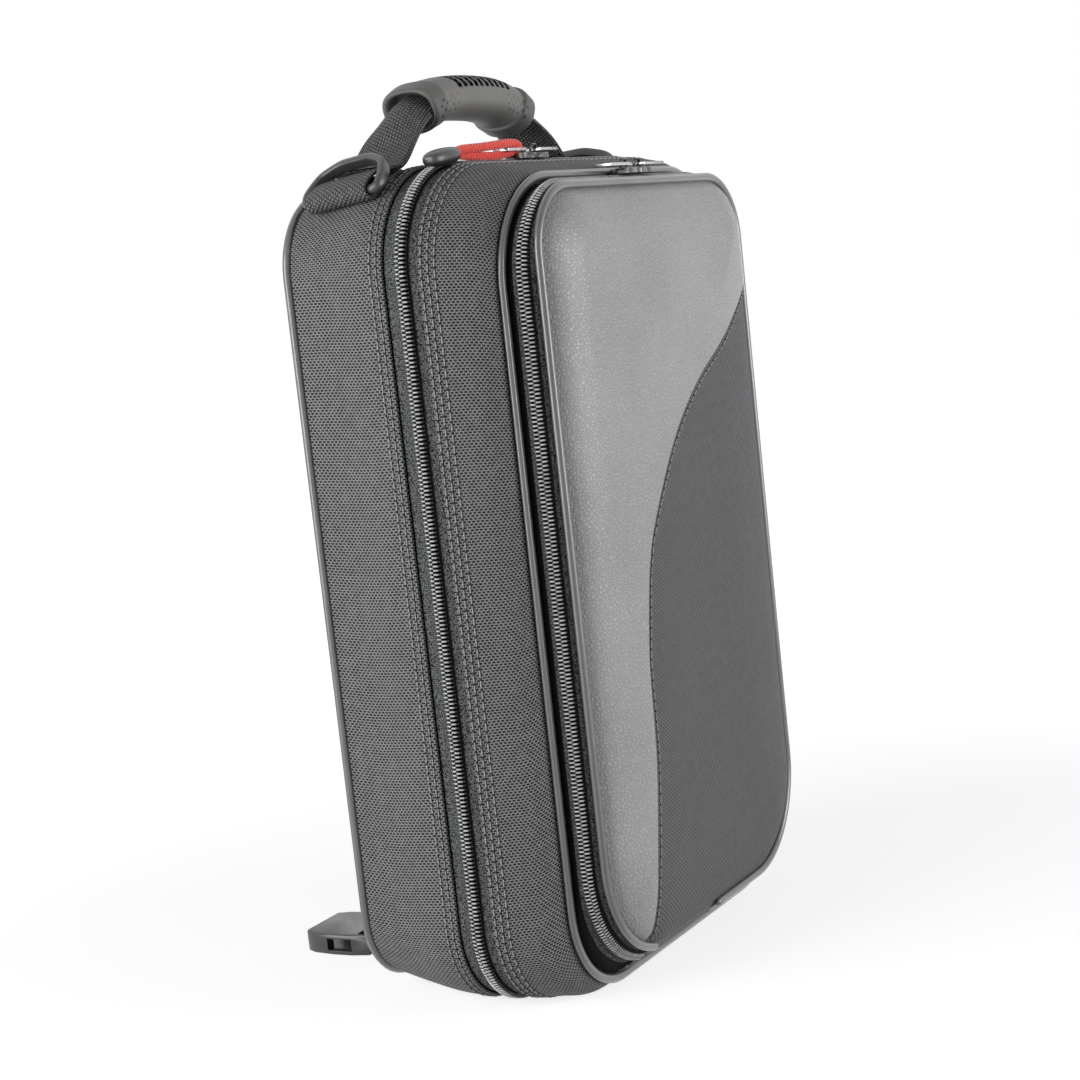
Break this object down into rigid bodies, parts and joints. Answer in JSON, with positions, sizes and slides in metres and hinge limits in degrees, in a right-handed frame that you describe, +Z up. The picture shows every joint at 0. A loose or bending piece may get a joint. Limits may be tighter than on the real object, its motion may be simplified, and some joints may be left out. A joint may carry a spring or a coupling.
{
  "type": "oboe case",
  "caption": "Soft-sided zipped case with a padded front pocket, fitted inner cradle, moulded carrying handle, strap rings and strap buckles.",
  "frame": {"origin": "centre of the flat resting strip under the rear shell, on the floor plane, 12 mm behind the main zip", "axes": "+Z up, -Y towards the front pocket, +X towards the spine that the lid opens about"},
  "size_m": [0.2139, 0.1787, 0.3531],
  "materials": {
    "nylon": "coarse ballistic weave",
    "leather": "grained, satin",
    "panel_cloth": "fine plain weave",
    "piping": "satin covered cord",
    "zip": "tape with a satin plastic coil",
    "slider": "black enamel, semi-gloss",
    "cord": "braided red cord",
    "rubber": "satin moulded",
    "plastic": "semi-gloss moulded",
    "webbing": "coarse woven webbing",
    "lining": "brushed pile over foam"
  },
  "bodies": {
    "base": {"rear_shell": "nylon", "back_panel": "nylon", "rear_piping": "piping", "main_zip_rear": "zip", "spine_rear": "nylon", "instrument_cradle": "lining", "hold_strap_lower": "webbing", "hold_strap_upper": "webbing", "handle_anchor_left": "webbing", "handle_anchor_right": "webbing", "ring_tab_left": "webbing", "ring_tab_right": "webbing", "foot_tab_left": "webbing", "foot_tab_right": "webbing"},
    "lid": {"front_shell": "nylon", "front_piping": "piping", "main_zip_front": "zip", "spine_front": "nylon", "lid_pad": "lining", "pocket_zip_rear": "zip", "pocket_hinge_rear": "nylon"},
    "pocket_flap": {"flap_pad": "lining", "leather_panel": "leather", "cloth_panel": "panel_cloth", "flap_piping": "piping", "pocket_zip_front": "zip", "pocket_hinge_front": "nylon"},
    "handle": {"handle_strap": "webbing", "handle_grip": "rubber", "handle_riser_left": "webbing", "handle_riser_right": "webbing"},
    "ring_left": {"strap_ring_left": "plastic"},
    "ring_right": {"strap_ring_right": "plastic"},
    "main_slider_left": {"main_slider_left": "slider"},
    "main_slider_right": {"main_slider_right": "slider"},
    "main_pull_left": {"main_pull_left": "slider", "pull_cord": "cord", "pull_cap": "rubber"},
    "main_pull_right": {"main_pull_right": "slider"},
    "pocket_slider_left": {"pocket_slider_left": "slider"},
    "pocket_slider_right": {"pocket_slider_right": "slider"},
    "pocket_pull_left": {"pocket_pull_left": "slider"},
    "pocket_pull_right": {"pocket_pull_right": "slider"},
    "buckle_left": {"foot_webbing_left": "webbing", "strap_buckle_left": "plastic"},
    "buckle_right": {"foot_webbing_right": "webbing", "strap_buckle_right": "plastic"}
  },
  "joints": [
    {"name": "lid_hinge", "type": "hinge", "parent": "base", "child": "lid", "pos_m": [0.1085, -0.012, 0.1579], "axis": [0, 0, 1], "range_deg": [0, 180]},
    {"name": "pocket_flap_hinge", "type": "hinge", "parent": "lid", "child": "pocket_flap", "pos_m": [0, -0.0497, 0.0087], "axis": [1, 0, 0], "range_deg": [0, 70]},
    {"name": "handle_swing", "type": "hinge", "parent": "base", "child": "handle", "pos_m": [0, 0.021, 0.31502], "axis": [-1, 0, 0], "range_deg": [-45, 45], "stiffness_Nm_per_rad": 0.06, "deforming": ["handle_riser_left", "handle_riser_right"]},
    {"name": "ring_left_swing", "type": "hinge", "parent": "base", "child": "ring_left", "pos_m": [-0.09197, 0.02138, 0.30723], "axis": [-0.2057, -0.9759, 0.0723], "range_deg": [0, 150]},
    {"name": "ring_right_swing", "type": "hinge", "parent": "base", "child": "ring_right", "pos_m": [0.09197, 0.02138, 0.30723], "axis": [-0.2057, 0.9759, -0.0723], "range_deg": [0, 150]},
    {"name": "main_slider_left_slide", "type": "slide", "parent": "base", "child": "main_slider_left", "axis": [1, 0, 0], "range_m": [-0.045, 0]},
    {"name": "main_pull_left_swing", "type": "hinge", "parent": "main_slider_left", "child": "main_pull_left", "pos_m": [-0.01335, -0.012, 0.31965], "axis": [0, 1, 0], "range_deg": [0, 90]},
    {"name": "main_slider_right_slide", "type": "slide", "parent": "base", "child": "main_slider_right", "axis": [1, 0, 0], "range_m": [0, 0.05]},
    {"name": "main_pull_right_swing", "type": "hinge", "parent": "main_slider_right", "child": "main_pull_right", "pos_m": [-0.00165, -0.012, 0.31965], "axis": [0, -1, 0], "range_deg": [0, 90]},
    {"name": "pocket_slider_left_slide", "type": "slide", "parent": "lid", "child": "pocket_slider_left", "axis": [1, 0, 0], "range_m": [-0.045, 0]},
    {"name": "pocket_pull_left_swing", "type": "hinge", "parent": "pocket_slider_left", "child": "pocket_pull_left", "pos_m": [0.00015, -0.0497, 0.30955], "axis": [0, 1, 0], "range_deg": [0, 90]},
    {"name": "pocket_slider_right_slide", "type": "slide", "parent": "lid", "child": "pocket_slider_right", "axis": [1, 0, 0], "range_m": [0, 0.035]},
    {"name": "pocket_pull_right_swing", "type": "hinge", "parent": "pocket_slider_right", "child": "pocket_pull_right", "pos_m": [0.01185, -0.0497, 0.30955], "axis": [0, -1, 0], "range_deg": [0, 90]},
    {"name": "buckle_left_fold", "type": "hinge", "parent": "base", "child": "buckle_left", "pos_m": [-0.035, 0.0501, 0.0024], "axis": [1, 0, 0], "range_deg": [0, 60]},
    {"name": "buckle_right_fold", "type": "hinge", "parent": "base", "child": "buckle_right", "pos_m": [0.035, 0.0501, 0.0024], "axis": [1, 0, 0], "range_deg": [0, 60]}
  ]
}
